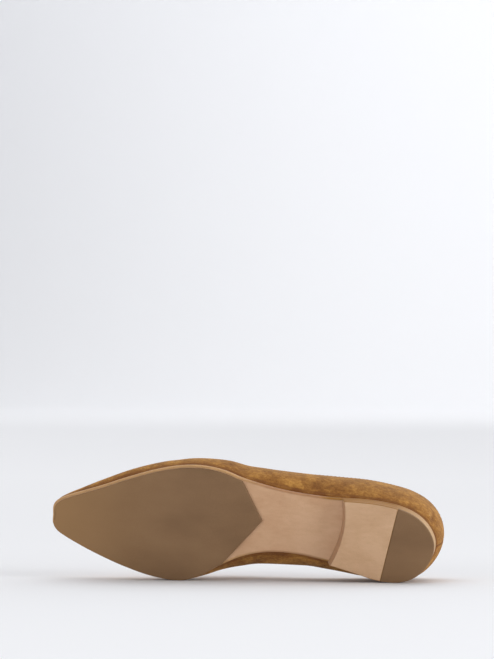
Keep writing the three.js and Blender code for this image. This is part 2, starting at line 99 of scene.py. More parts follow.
# Shares of the length from the heel's back, listed from the toe, and of the width named on each side.
OUTLINE = [
    dict(at=1.000, outer=0.233, inner=0.217, of=TOE_WIDTH),
    dict(at=0.995, outer=0.358, inner=0.335, of=TOE_WIDTH),
    dict(at=0.984, outer=0.467, inner=0.458, of=TOE_WIDTH),
    dict(at=0.965, outer=0.178, inner=0.175, of=BALL_WIDTH),
    dict(at=0.930, outer=0.227, inner=0.227, of=BALL_WIDTH),
    dict(at=0.870, outer=0.305, inner=0.305, of=BALL_WIDTH),
    dict(at=0.800, outer=0.403, inner=0.383, of=BALL_WIDTH),
    dict(at=0.720, outer=0.497, inner=0.449, of=BALL_WIDTH),
    dict(at=0.650, outer=0.547, inner=0.464, of=BALL_WIDTH),
    dict(at=0.600, outer=0.553, inner=0.405, of=BALL_WIDTH),
    dict(at=0.550, outer=0.526, inner=0.303, of=BALL_WIDTH),
    dict(at=0.500, outer=0.466, inner=0.221, of=BALL_WIDTH),
    dict(at=0.450, outer=0.764, inner=0.319, of=WAIST_WIDTH),
    dict(at=0.400, outer=0.697, inner=0.296, of=WAIST_WIDTH),
    dict(at=0.340, outer=0.647, inner=0.321, of=WAIST_WIDTH),
    dict(at=0.270, outer=0.524, inner=0.337, of=SEAT_WIDTH),
    dict(at=0.200, outer=0.531, inner=0.421, of=SEAT_WIDTH),
    dict(at=0.140, outer=0.516, inner=0.492, of=SEAT_WIDTH),
    dict(at=0.090, outer=0.471, inner=0.500, of=SEAT_WIDTH),
    dict(at=0.050, outer=0.386, inner=0.427, of=SEAT_WIDTH),
    dict(at=0.022, outer=0.265, inner=0.296, of=SEAT_WIDTH),
    dict(at=0.004, outer=0.112, inner=0.124, of=SEAT_WIDTH),
]
SEAT_END = 0.28
TREAD_START = 0.61
SPRING_START = 0.73
SPRING_POWER = 1.8

# The shoe is modelled standing, x to the toe, y to the outer side and z up, and is laid down by one turn.
# The heel's flat face in the record gives the turn: it faces the shoe's down, 45 mm from the heel's back.
HEEL_FACE_AHEAD = 0.045
heel_face = next(mount for mount in frame["record"]["mounts"] if mount["name"] == "heel_face")
shoe_up = -Vector(heel_face["axis"]).normalized()
shoe_toe = shoe_up.cross(Vector((0, 1, 0))).normalized()
shoe_out = shoe_up.cross(shoe_toe)
heel_back = Vector(heel_face["pos_m"]) - shoe_toe * HEEL_FACE_AHEAD
laid_turn = np.array(Matrix((shoe_toe, shoe_out, shoe_up)))

ROWS = len(OUTLINE) + 1
outer_edge = [(row["at"] * SOLE_LENGTH, row["outer"] * row["of"]) for row in OUTLINE]
inner_edge = [(row["at"] * SOLE_LENGTH, -row["inner"] * row["of"]) for row in OUTLINE]
outline_spots = np.array([(SOLE_LENGTH, 0), *outer_edge, (0, 0), *reversed(inner_edge)])


def edge_place(side, row, inset=0.0):
    """Places on the sole's outline and inside it; row 0 is the toe and ROWS the heel's back."""
    row = np.atleast_1d(np.asarray(row, dtype=float))
    t = row if side > 0 else 2 * ROWS - row
    spot = np.floor(t).astype(int)
    part = (t - spot)[:, None]
    count = len(outline_spots)
    a, b, c, d = (outline_spots[(spot + step) % count] for step in (-1, 0, 1, 2))
    ab, bc, cd = (np.sqrt(np.linalg.norm(q - p, axis=1))[:, None] for p, q in ((a, b), (b, c), (c, d)))
    leave = ((b - a) / ab - (c - a) / (ab + bc) + (c - b) / bc) * bc
    arrive = ((c - b) / bc - (d - b) / (bc + cd) + (d - c) / cd) * bc
    square = 3 * (c - b) - 2 * leave - arrive
    cube = 2 * (b - c) + leave + arrive
    place = b + leave * part + square * part**2 + cube * part**3
    along = leave + 2 * square * part + 3 * cube * part**2
    along /= np.linalg.norm(along, axis=1)[:, None]
    inset = np.broadcast_to(inset, row.shape)[:, None]
    return place + np.stack([-along[:, 1], along[:, 0]], axis=1) * inset


def row_at(side, x):
    """The outline's row at a distance from the heel's back."""
    rows = np.linspace(0, ROWS, OUTLINE_SAMPLES)
    return float(np.interp(-x, -edge_place(side, rows)[:, 0], rows))


def smooth_step(value, start, end):
    t = np.clip((value - start) / (end - start), 0, 1)
    return t * t * (3 - 2 * t)


def underside_height(x):
    """Height of the outsole's underside above the ground: seat, waist, tread and toe spring."""
    at = np.asarray(x) / SOLE_LENGTH
    fall = smooth_step(at, SEAT_END, TREAD_START)
    level = HEEL_HEIGHT + (HALF_SOLE_THICKNESS - HEEL_HEIGHT) * fall
    spring = np.clip((at - SPRING_START) / (1 - SPRING_START), 0, None) ** SPRING_POWER
    return level + TOE_SPRING * spring


def feather_height(x):
    return underside_height(x) + OUTSOLE_THICKNESS + GAP


def sole_loop(inset, outer_end=ROWS, inner_end=ROWS, tip=()):
    """The outline, or its front part, clockwise from the toe; places facing each other pair up."""
    share = np.arange(1, SOLE_COLUMNS) / SOLE_COLUMNS
    insets = [inset(side, share) if callable(inset) else inset for side in (1, -1)]
    toe_inset = inset(1, 0.0) if callable(inset) else inset
    outer = edge_place(1, outer_end * share, insets[0])
    inner = edge_place(-1, inner_end * share, insets[1])
    end = np.array(tip) if len(tip) else edge_place(1, ROWS, inset)
    return np.concatenate([edge_place(1, 0, toe_inset), outer, end, inner[::-1]])


def inset_loop(loop, inset):
    """A closed outline moved inwards by the same distance everywhere."""
    along = np.roll(loop, -1, axis=0) - loop
    along /= np.linalg.norm(along, axis=1)[:, None]
    before = np.roll(along, 1, axis=0)
    inward = np.stack([-(before + along)[:, 1], (before + along)[:, 0]], axis=1)
    turn = np.sign(np.sum(loop[:, 0] * np.roll(loop[:, 1], -1) - loop[:, 1] * np.roll(loop[:, 0], -1)))
    return loop + turn * inward * (2 * inset / np.sum(inward**2, axis=1))[:, None]


def make_piece(name, spots, faces, marks=None, shades=None):
    """A smooth mesh from standing places, laid down. It keeps its standing places for the materials."""
    mesh = bpy.data.meshes.new(name)
    laid = np.asarray(spots) @ laid_turn + np.array(heel_back)
    mesh.from_pydata(laid.tolist(), [], faces)
    standing = mesh.attributes.new("standing", "FLOAT_VECTOR", "POINT")
    standing.data.foreach_set("vector", np.asarray(spots, dtype=np.float32).ravel())
    for mark, values in (marks or {}).items():
        layer = mesh.attributes.new(mark, "FLOAT", "POINT")
        layer.data.foreach_set("value", np.asarray(values, dtype=np.float32))
    mesh.polygons.foreach_set("use_smooth", [True] * len(faces))
    if shades is not None:
        mesh.polygons.foreach_set("material_index", shades)
    mesh.update()
    piece = bpy.data.objects.new(name, mesh)
    bpy.context.scene.collection.objects.link(piece)
    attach(piece, "root")
    return piece


def ring_faces(count, rings):
    """Four-sided faces between a pile of closed rings."""
    faces = []
    for k in range(rings - 1):
        for i in range(count):
            j = (i + 1) % count
            faces.append((k * count + i, k * count + j, (k + 1) * count + j, (k + 1) * count + i))
    return faces


def plate(name, loop, bottom, layers):
    """A plate that bends with the sole. Its bottom gives a height for each x, a layer an inset and a rise."""
    count = len(loop)
    rings = []
    for inset, rise in layers:
        spots = inset_loop(loop, inset)
        rings.append(np.column_stack([spots, bottom(spots[:, 0]) + rise]))
    faces = ring_faces(count, len(rings))
    top = (len(rings) - 1) * count
    for i in range(count // 2):
        across = (i, i + 1, count - i - 1, (count - i) % count)
        faces.append(tuple(reversed(across)))
        faces.append(tuple(top + k for k in across))
    faces = [face for face in (tuple(dict.fromkeys(face)) for face in faces) if len(face) > 2]
    spots = np.concatenate(rings)
    edge = np.concatenate([np.full(count, float(0 < k < len(rings) - 1)) for k in range(len(rings))])
    return make_piece(name, spots, faces, {"edge": edge})


def linear(colour):
    """An sRGB hex colour as the linear numbers that a shader takes."""
    parts = [int(colour[k : k + 2], 16) / 255 for k in (1, 3, 5)]
    return (*(c / 12.92 if c <= 0.04045 else ((c + 0.055) / 1.055) ** 2.4 for c in parts), 1)


def add(tree, kind, sockets=None, stops=(), **settings):
    """A node with its settings, its sockets linked or set, and the stops of a ramp of colours or greys.

    The sockets of a Mix node go by number, because its floats and its colours have the same names.
    """
    made = tree.nodes.new(kind)
    for name, value in settings.items():
        setattr(made, name, value)
    for k, (position, colour) in enumerate(stops):
        elements = made.color_ramp.elements
        element = elements[k] if k < 2 else elements.new(position)
        element.position = position
        element.color = linear(colour) if isinstance(colour, str) else (colour, colour, colour, 1)
    for socket, value in (sockets or {}).items():
        if isinstance(value, bpy.types.NodeSocket):
            tree.links.new(value, made.inputs[socket])
        else:
            made.inputs[socket].default_value = value
    return made


def start_material(name):
    """An empty node tree with a Principled shader, and the places on the standing shoe."""
    material = bpy.data.materials.new(name)
    material.use_nodes = True
    tree = material.node_tree
    shader = tree.nodes["Principled BSDF"]
    standing = add(tree, "ShaderNodeAttribute", attribute_name="standing")
    return material, tree, shader, standing.outputs["Vector"]


def sock_leather():
    """Thin vegetable-tanned lining leather, glazed: fine grain, a soft gloss and uneven tan."""
    material, tree, shader, place = start_material("glazed lining leather")
    sockets = {"Vector": place, "Scale": 1 / SOCK_CLOUDS, "Detail": 4}
    clouds = add(tree, "ShaderNodeTexNoise", sockets).outputs[0]
    sockets = {"Vector": place, "Scale": 1 / SOCK_GRAIN, "Detail": 2}
    grain = add(tree, "ShaderNodeTexNoise", sockets).outputs[0]
    stops = [(0.35, SOCK_SHADE), (0.65, SOCK_COLOUR)]
    colour = add(tree, "ShaderNodeValToRGB", {"Fac": clouds}, stops).outputs[0]
    grained = add(tree, "ShaderNodeBump", {"Height": grain, "Distance": SOCK_GRAIN_DEPTH}).outputs[0]
    tree.links.new(colour, shader.inputs["Base Color"])
    tree.links.new(grained, shader.inputs["Normal"])
    shader.inputs["Roughness"].default_value = 0.5
    return material


def insole_bottom(x):
    return feather_height(x) + WALL + GAP


insole = plate(
    "insole_sock",
    sole_loop(FEATHER_INSET + WALL + GAP + INSOLE_EASE),
    insole_bottom,
    [
        (FLAT_RING * 0.75, 0),
        (0, 0),
        (0, INSOLE_THICKNESS - INSOLE_ROUND),
        (INSOLE_ROUND * 0.3, INSOLE_THICKNESS - INSOLE_ROUND * 0.3),
        (INSOLE_ROUND, INSOLE_THICKNESS),
        (FLAT_RING, INSOLE_THICKNESS),
    ],
)
lining_leather = sock_leather()
insole.data.materials.append(lining_leather)
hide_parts("insole")


# The upper
# Suede goat leather with a glued lining, cut as vamp and quarters in one, closed by a seam at the heel's back
# and pulled over the last. Its margin is turned in under the insole, and its topline is folded and stitched.
FEATHER_ROUND = 0.0015
FEATHER_CORNER = 0.7
LASTING_MARGIN = 0.008
INSTEP_HEIGHT = 0.062
BACK_HEIGHT = 0.056
SWELL = 0.0064
SWELL_HEIGHT = 0.022
TOE_FAN = 0.013
TOE_FAN_REACH = 0.060
HEEL_FAN = 0.022
HEEL_FAN_REACH = 0.072
VAMP_COLUMNS = 110
COLLAR_COLUMNS = 150
WALL_ROWS = 54
ROUND_STEPS = 4
RIM_STEPS = 5
TRACE_STEPS = 300
WALL_SAMPLES = 2000
HALVINGS = 40
WELD = 0.000005
NAP_LENGTH = 0.0008

# The wall's columns gather behind the throat. The back seam has columns of its own, placed in rows of the
# outline before the heel's back, and so has the sharp crease beside it, placed in metres.
COLLAR_GATHER = 1.4
SEAM_WIDTH = 0.0006
SEAM_DEPTH = 0.0005
SEAM_ASIDE = -0.0018
SEAM_REACH = 0.34
SEAM_COLUMNS = (0.30, 0.24, 0.19, 0.15, 0.11, 0.08, 0.05, 0.02)
HEEL_CREASE_START = 0.0020
HEEL_CREASE_END = 0.0125
HEEL_CREASE_COLUMNS = 20

# The crest of the vamp, in shares of the length, the instep's height and the ball's width. The section
# there is an ellipse at 2 and gets squarer above it.
CREST = [
    dict(at=1.00, height=0.385, aside=0.000, full=2.20),
    dict(at=0.95, height=0.435, aside=0.000, full=2.25),
    dict(at=0.90, height=0.485, aside=0.008, full=2.30),
    dict(at=0.80, height=0.600, aside=0.030, full=2.35),
    dict(at=0.70, height=0.750, aside=0.050, full=2.35),
    dict(at=0.64, height=0.870, aside=0.055, full=2.35),
    dict(at=0.58, height=1.000, aside=0.050, full=2.35),
    dict(at=0.52, height=1.170, aside=0.040, full=2.40),
    dict(at=0.45, height=1.370, aside=0.025, full=2.50),
    dict(at=0.36, height=1.480, aside=0.010, full=2.60),
    dict(at=0.20, height=1.500, aside=0.000, full=2.60),
    dict(at=0.00, height=1.450, aside=0.000, full=2.60),
]

# How far the wall swells out over the feather on each side, and how high up, as shares of the two swells.
SWELLS = [
    dict(at=1.00, outer=0.09, inner=0.09, high=0.36),
    dict(at=0.93, outer=0.32, inner=0.16, high=0.40),
    dict(at=0.87, outer=0.58, inner=0.20, high=0.45),
    dict(at=0.80, outer=0.66, inner=0.26, high=0.50),
    dict(at=0.72, outer=0.54, inner=0.38, high=0.59),
    dict(at=0.65, outer=0.44, inner=0.46, high=0.64),
    dict(at=0.60, outer=0.44, inner=0.68, high=0.68),
    dict(at=0.55, outer=0.58, inner=1.20, high=0.72),
    dict(at=0.50, outer=0.74, inner=1.72, high=0.74),
    dict(at=0.45, outer=1.00, inner=2.00, high=0.77),
    dict(at=0.40, outer=1.26, inner=2.10, high=0.78),
    dict(at=0.34, outer=1.40, inner=2.00, high=0.82),
    dict(at=0.27, outer=1.42, inner=1.72, high=0.91),
    dict(at=0.20, outer=1.20, inner=1.44, high=1.00),
    dict(at=0.14, outer=0.94, inner=1.08, high=1.04),
    dict(at=0.09, outer=0.80, inner=0.94, high=1.04),
    dict(at=0.05, outer=0.70, inner=0.76, high=1.00),
    dict(at=0.00, outer=0.62, inner=0.62, high=0.95),
]

# The topline's height as a share of the height at the heel's back.
TOPLINE = [
    dict(at=0.66, height=1.150),
    dict(at=0.60, height=1.130),
    dict(at=0.56, height=1.105),
    dict(at=0.52, height=1.055),
    dict(at=0.46, height=0.930),
    dict(at=0.40, height=0.840),
    dict(at=0.32, height=0.795),
    dict(at=0.22, height=0.820),
    dict(at=0.12, height=0.900),
    dict(at=0.04, height=0.985),
    dict(at=0.00, height=1.000),
]

# Soft troughs in the wall, listed one by one: where along the sole and how far up the wall, how long and wide
# in metres, how deep, and how far they slant forward as they climb. Negative depths are ridges.
CREASES = [
    dict(side=1, at=0.020, climb=0.009, long=0.007, wide=0.0012, slant=0.12, deep=0.0010),
    dict(side=1, at=0.029, climb=0.006, long=0.0022, wide=0.0009, slant=0.12, deep=-0.0007),
    dict(side=1, at=0.180, climb=0.010, long=0.010, wide=0.0060, slant=0.50, deep=0.0005),
    dict(side=1, at=0.330, climb=0.006, long=0.006, wide=0.0080, slant=-0.40, deep=0.0006),
    dict(side=1, at=0.410, climb=0.012, long=0.012, wide=0.0060, slant=0.60, deep=-0.0005),
    dict(side=1, at=0.500, climb=0.006, long=0.005, wide=0.0070, slant=0.30, deep=0.0005),
    dict(side=-1, at=0.440, climb=0.008, long=0.007, wide=0.0060, slant=0.50, deep=0.0007),
    dict(side=-1, at=0.350, climb=0.010, long=0.009, wide=0.0070, slant=-0.30, deep=0.0006),
    dict(side=1, at=0.690, climb=0.024, long=0.014, wide=0.0050, slant=-0.30, deep=0.0006),
    dict(side=-1, at=0.680, climb=0.022, long=0.014, wide=0.0050, slant=-0.40, deep=0.0007),
    dict(side=1, at=0.730, climb=0.030, long=0.012, wide=0.0045, slant=-0.20, deep=0.0004),
    dict(side=-1, at=0.730, climb=0.028, long=0.012, wide=0.0045, slant=-0.30, deep=0.0005),
]


def between(table, at, column):
    """A value between the rows of a table, on a smooth curve through them."""
    places = np.array([row["at"] for row in reversed(table)])
    values = np.array([row[column] for row in reversed(table)])
    last = len(places) - 1
    before = np.maximum(np.arange(last + 1) - 1, 0)
    after = np.minimum(np.arange(last + 1) + 1, last)
    slopes = (values[after] - values[before]) / (places[after] - places[before])
    at = np.clip(at, places[0], places[-1])
    k = np.clip(np.searchsorted(places, at, side="right"), 1, last)
    step = places[k] - places[k - 1]
    t = (at - places[k - 1]) / step
    smooth = values[k - 1] + (values[k] - values[k - 1]) * t * t * (3 - 2 * t)
    return smooth + t * (1 - t) * step * ((1 - t) * slopes[k - 1] - t * slopes[k])


def crest_place(row):
    """The place on the last's crest that a row of the outline faces."""
    x = (edge_place(1, row)[0, 0] + edge_place(-1, row)[0, 0]) / 2
    toe_share = max(0, 1 - (SOLE_LENGTH - x) / TOE_FAN_REACH)
    heel_share = max(0, 1 - x / HEEL_FAN_REACH)
    along = x - TOE_FAN * toe_share**2 + HEEL_FAN * heel_share**2
    at = along / SOLE_LENGTH
    aside = between(CREST, at, "aside") * BALL_WIDTH
    return np.array([along, -aside, between(CREST, at, "height") * INSTEP_HEIGHT])


def topline_height(x):
    return between(TOPLINE, np.asarray(x) / SOLE_LENGTH, "height") * BACK_HEIGHT


def throat_row():
    """The row of the outline whose crest place lies on the topline: the front end of the throat."""
    low, high = 0.0, float(ROWS)
    for _ in range(HALVINGS):
        middle = (low + high) / 2
        crest = crest_place(middle)
        if crest[2] < topline_height(crest[0]):
            low = middle
        else:
            high = middle
    return low


def upper_section(side, row, whole):
    """One section of the upper: its outside, its inside and how far up its wall each place is."""
    feather = edge_place(side, row, FEATHER_INSET)[0]
    edge = edge_place(side, row)[0]
    crest = crest_place(row)
    out = feather - crest[:2]
    reach = np.linalg.norm(out)
    out /= reach
    square = (edge - feather) / np.linalg.norm(edge - feather)
    wall = WALL / out.dot(square)
    base = float(feather_height(feather[0]))
    rise = crest[2] - base
    at = feather[0] / SOLE_LENGTH
    swell = between(SWELLS, at, "outer" if side > 0 else "inner") * SWELL
    swell_height = between(SWELLS, at, "high") * SWELL_HEIGHT
    power = 2 / between(CREST, at, "full")

    def wall_place(angle):
        up = rise * np.sin(angle) ** power
        high = up / swell_height
        bulge = swell * high * np.exp(1 - high) * np.cos(angle)
        across = bulge - reach * (1 - np.clip(np.cos(angle), 0, 1) ** power)
        return np.stack([across, up], axis=-1)

    last = math.pi / 2
    if not whole:
        angles = np.linspace(0, math.pi / 2, WALL_SAMPLES)
        places = wall_place(angles)
        over = base + places[:, 1] - topline_height(feather[0] + out[0] * places[:, 0])
        k = int(np.argmax(over > 0))
        if over[k] > 0 and k > 0:
            last = np.interp(0, [over[k - 1], over[k]], [angles[k - 1], angles[k]])
    first = math.asin((FEATHER_ROUND / rise) ** (1 / power))
    trace = wall_place(np.linspace(first, last, TRACE_STEPS))
    length = np.concatenate([[0], np.cumsum(np.linalg.norm(np.diff(trace, axis=0), axis=1))])
    wanted = np.linspace(0, length[-1], WALL_ROWS + 1)
    climb = np.column_stack([np.interp(wanted, length, trace[:, k]) for k in (0, 1)])
    start = np.array([-FEATHER_ROUND, 0.0])
    corner = np.array([climb[0, 0] * FEATHER_CORNER, 0.0])
    share = np.linspace(0, 1, ROUND_STEPS + 2)[:-1, None]
    turn_in = (1 - share) ** 2 * start + 2 * share * (1 - share) * corner + share**2 * climb[0]
    places = np.concatenate([[[-LASTING_MARGIN, 0.0]], turn_in, climb])
    along = np.diff(places, axis=0)
    along /= np.linalg.norm(along, axis=1)[:, None]
    before = np.concatenate([along[:1], along])
    after = np.concatenate([along, along[-1:]])
    inward = np.stack([-(before + after)[:, 1], (before + after)[:, 0]], axis=1)
    inside = places + inward * (2 * wall / np.sum(inward**2, axis=1))[:, None]
    inside[:2, 1] = WALL
    inside[1:-1, 1] = np.maximum(inside[1:-1, 1], WALL)
    if whole:
        inside[-1] = (places[-1, 0], places[-1, 1] - WALL)
    climbed = np.concatenate([np.zeros(len(places) - len(climb)), wanted])
    return feather, out, base, places, inside, climbed, length[-1], wall


def place_section(feather, out, base, places):
    """Standing places of a section. The margin follows the sole, and the wall hangs on the feather."""
    spots = feather + out * places[:, :1]
    heights = np.where(np.arange(len(places)) < 2, feather_height(spots[:, 0]), base)
    return np.column_stack([spots, heights + places[:, 1]])


THROAT = throat_row()
vamp_rows = THROAT * np.arange(VAMP_COLUMNS + 1) / VAMP_COLUMNS
collar_share = np.arange(1, COLLAR_COLUMNS + 1) / COLLAR_COLUMNS
collar_rows = THROAT + (ROWS - THROAT) * collar_share**COLLAR_GATHER
collar_rows = collar_rows[collar_rows < ROWS - SEAM_REACH]
seam_rows = ROWS - np.array(SEAM_COLUMNS)
crease_places = np.linspace(HEEL_CREASE_START, HEEL_CREASE_END, HEEL_CREASE_COLUMNS)
crease_rows = [row_at(1, x) for x in crease_places]
collar_rows = np.unique(np.concatenate([collar_rows, crease_rows, seam_rows, [ROWS]]))
section_rows = [*((row, True) for row in vamp_rows), *((row, False) for row in collar_rows)]
columns = [(1, *pair) for pair in section_rows] + [(-1, *pair) for pair in reversed(section_rows[1:-1])]

upper_spots = []
upper_marks = {"climb": [], "seam": [], "fold": []}
topline_edge = []
for side, row, whole in columns:
    feather, out, base, places, inside, climbed, height, wall = upper_section(side, row, whole)
    seam = math.exp(-(((feather[1] - SEAM_ASIDE) / SEAM_WIDTH) ** 2)) if feather[0] < SEAT_WIDTH / 2 else 0
    places[2:, 0] -= SEAM_DEPTH * seam
    fold = np.zeros(len(places))
    for crease in (row for row in CREASES if row["side"] == side):
        away = (feather[0] - crease["at"] * SOLE_LENGTH - crease["slant"] * climbed) / crease["wide"]
        up = (climbed - crease["climb"]) / crease["long"]
        depth = crease["deep"] * np.exp(-(away**2) - up**2)
        places[:, 0] -= depth
        fold += depth / NAP_LENGTH
    middle = (places[-1] + inside[-1]) / 2
    ahead_edge = places[-1] - places[-2]
    ahead_edge /= np.linalg.norm(ahead_edge)
    sweep = np.linspace(0, math.pi, RIM_STEPS + 2)[1:-1, None]
    rim = middle + (places[-1] - middle) * np.cos(sweep) + ahead_edge * np.sin(sweep) * wall / 2
    if whole:
        rim = np.repeat(places[-1:], RIM_STEPS, axis=0)
    section = np.concatenate([places, rim, inside[::-1]])
    spots = place_section(feather, out, base, section)
    spots[-2:, 2] = feather_height(spots[-2:, 0]) + WALL
    upper_spots.append(spots)
    upper_marks["climb"].append(np.concatenate([climbed, np.full(RIM_STEPS, height), climbed[::-1]]))
    upper_marks["fold"].append(np.concatenate([fold, np.zeros(len(section) - len(fold))]))
    upper_marks["seam"].append(np.full(len(section), seam))
    if not whole or row == THROAT:
        topline_edge.append(spots[len(places) - 1])

per_column = len(upper_spots[0])
outside_rows = WALL_ROWS + 1 + ROUND_STEPS + 2
wholes = [whole for _, _, whole in columns]
upper_faces = []
upper_shades = []
for i in range(len(columns)):
    j = (i + 1) % len(columns)
    for k in range(per_column):
        n = (k + 1) % per_column
        in_rim = outside_rows - 1 <= k < outside_rows + RIM_STEPS
        if in_rim and wholes[i] and wholes[j]:
            continue
        face = (j * per_column + k, j * per_column + n, i * per_column + n, i * per_column + k)
        upper_faces.append(face)
        upper_shades.append(0 if k < outside_rows + RIM_STEPS // 2 else 1)

upper = make_piece(
    "suede_upper",
    np.concatenate(upper_spots),
    upper_faces,
    {name: np.concatenate(values) for name, values in upper_marks.items()},
    upper_shades,
)

# The two sides meet along the crest of the vamp, where they are welded into one skin.
skin = bmesh.new()
skin.from_mesh(upper.data)
bmesh.ops.remove_doubles(skin, verts=skin.verts, dist=WELD)
skin.to_mesh(upper.data)
skin.free()

SUEDE_LIGHT = "#cc964b"
SUEDE_MIDDLE = "#9b6832"
SUEDE_DARK = "#6e401d"
# Painted shade for the strip of suede beside the sole, where the wall meets it.
SUEDE_SOLE_SHADE = "#7a4a26"
# Painted highlight for the ridges of creases.
SUEDE_RIDGE_HIGHLIGHT = "#dcb478"
SUEDE_SHEEN = "#e8c894"
SEAM_COLOUR = "#6a3a1c"
PATCH_SIZE = 0.009
PATCH_STRETCH = 1.5
PATCH_DEPTH = 0.0010
STREAK_SIZE = 0.0026
STREAK_STRETCH = 1.25
STREAK_DEPTH = 0.0005
NAP_DEPTH = 0.00035
# The painted shade beside the sole is full below the first climb and gone above the second, in metres.
SOLE_SHADE_FROM = 0.0004
SOLE_SHADE_TO = 0.0020


def goat_suede():
    """Goat suede, ochre: a short brushed nap that lies this way and that, so it shades in soft patches."""
    material, tree, shader, place = start_material("brushed goat suede")
    drawn = add(tree, "ShaderNodeMapping", {"Vector": place, "Scale": (1 / PATCH_STRETCH, 1, 1)}).outputs[0]
    sockets = {"Vector": drawn, "Scale": 1 / PATCH_SIZE, "Detail": 3, "Roughness": 0.6}
    patches = add(tree, "ShaderNodeTexNoise", sockets).outputs[0]
    drawn = add(tree, "ShaderNodeMapping", {"Vector": place, "Scale": (1 / STREAK_STRETCH, 1, 1)}).outputs[0]
    sockets = {"Vector": drawn, "Scale": 1 / STREAK_SIZE, "Detail": 4, "Roughness": 0.7}
    streaks = add(tree, "ShaderNodeTexNoise", sockets).outputs[0]
    sockets = {"Vector": place, "Scale": 1 / NAP_LENGTH, "Detail": 3, "Roughness": 0.65}
    nap = add(tree, "ShaderNodeTexNoise", sockets).outputs[0]
    mixed = add(tree, "ShaderNodeMix", {0: 0.50, 2: patches, 3: streaks}).outputs[0]
    mixed = add(tree, "ShaderNodeMix", {0: 0.20, 2: mixed, 3: nap}).outputs[0]
    stops = [(0.35, SUEDE_DARK), (0.49, SUEDE_MIDDLE), (0.65, SUEDE_LIGHT)]
    colour = add(tree, "ShaderNodeValToRGB", {"Fac": mixed}, stops).outputs[0]

    # Painted shade on the strip beside the sole, in patches, and in troughs; painted highlight on ridges; the
    # seam is dark.
    climb = add(tree, "ShaderNodeAttribute", attribute_name="climb").outputs["Fac"]
    sockets = {"Value": climb, "From Min": SOLE_SHADE_FROM, "From Max": SOLE_SHADE_TO, "To Min": 1.0, "To Max": 0.0}
    near_sole = add(tree, "ShaderNodeMapRange", sockets, interpolation_type="SMOOTHSTEP").outputs[0]
    sole_shade = add(tree, "ShaderNodeValToRGB", {"Fac": patches}, [(0.40, 0.95), (0.60, 0.55)]).outputs[0]
    sole_shade = add(tree, "ShaderNodeMath", {0: near_sole, 1: sole_shade}, operation="MULTIPLY").outputs[0]
    # The fold mark carries each crease's depth: painted shade in its trough, painted highlight on its ridge.
    fold = add(tree, "ShaderNodeAttribute", attribute_name="fold").outputs["Fac"]
    trough_shade = add(tree, "ShaderNodeValToRGB", {"Fac": fold}, [(0.2, 0.0), (1.0, 0.5)]).outputs[0]
    raised = add(tree, "ShaderNodeMath", {0: fold, 1: -1.0}, operation="MULTIPLY").outputs[0]
    ridge_highlight = add(tree, "ShaderNodeValToRGB", {"Fac": raised}, [(0.65, 0.0), (0.85, 0.8)]).outputs[0]
    seam = add(tree, "ShaderNodeAttribute", attribute_name="seam").outputs["Fac"]
    shades = [(sole_shade, SUEDE_SOLE_SHADE), (trough_shade, SUEDE_DARK), (ridge_highlight, SUEDE_RIDGE_HIGHLIGHT), (seam, SEAM_COLOUR)]
    for share, shade in shades:
        sockets = {0: share, 6: colour, 7: linear(shade)}
        colour = add(tree, "ShaderNodeMix", sockets, data_type="RGBA").outputs[2]
    tree.links.new(colour, shader.inputs["Base Color"])

    sockets = {"Height": patches, "Distance": PATCH_DEPTH, "Strength": 0.5}
    relief = add(tree, "ShaderNodeBump", sockets).outputs[0]
    sockets = {"Height": streaks, "Distance": STREAK_DEPTH, "Strength": 0.7, "Normal": relief}
    relief = add(tree, "ShaderNodeBump", sockets).outputs[0]
    sockets = {"Height": nap, "Distance": NAP_DEPTH, "Normal": relief}
    relief = add(tree, "ShaderNodeBump", sockets).outputs[0]
    tree.links.new(relief, shader.inputs["Normal"])
    shader.inputs["Roughness"].default_value = 0.95
    shader.inputs["Specular IOR Level"].default_value = 0.15
    shader.inputs["Sheen Weight"].default_value = 0.35
    shader.inputs["Sheen Roughness"].default_value = 0.5
    shader.inputs["Sheen Tint"].default_value = linear(SUEDE_SHEEN)
    return material


suede = goat_suede()
upper.data.materials.append(suede)
upper.data.materials.append(lining_leather)
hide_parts("upper")

# The topline's stitches: a row of linen thread along the folded edge, set a little below it.
STITCH_LENGTH = 0.0019
STITCH_WIDTH = 0.0006
STITCH_PITCH = 0.0027
STITCH_DROP = 0.0018
STITCH_SINK = 0.00016
THREAD_COLOUR = "#9a6a36"
THREAD_SHADE = "#80562a"
TWIST_SIZE = 0.0004


def waxed_thread():
    """Waxed linen thread, dyed to the suede: a tight twist with a soft shine."""
    material, tree, shader, place = start_material("waxed linen thread")
    sockets = {"Vector": place, "Scale": 1 / TWIST_SIZE, "Detail": 1}
    twist = add(tree, "ShaderNodeTexNoise", sockets).outputs[0]
    stops = [(0.3, THREAD_SHADE), (0.7, THREAD_COLOUR)]
    colour = add(tree, "ShaderNodeValToRGB", {"Fac": twist}, stops).outputs[0]
    tree.links.new(colour, shader.inputs["Base Color"])
    shader.inputs["Roughness"].default_value = 0.6
    return material


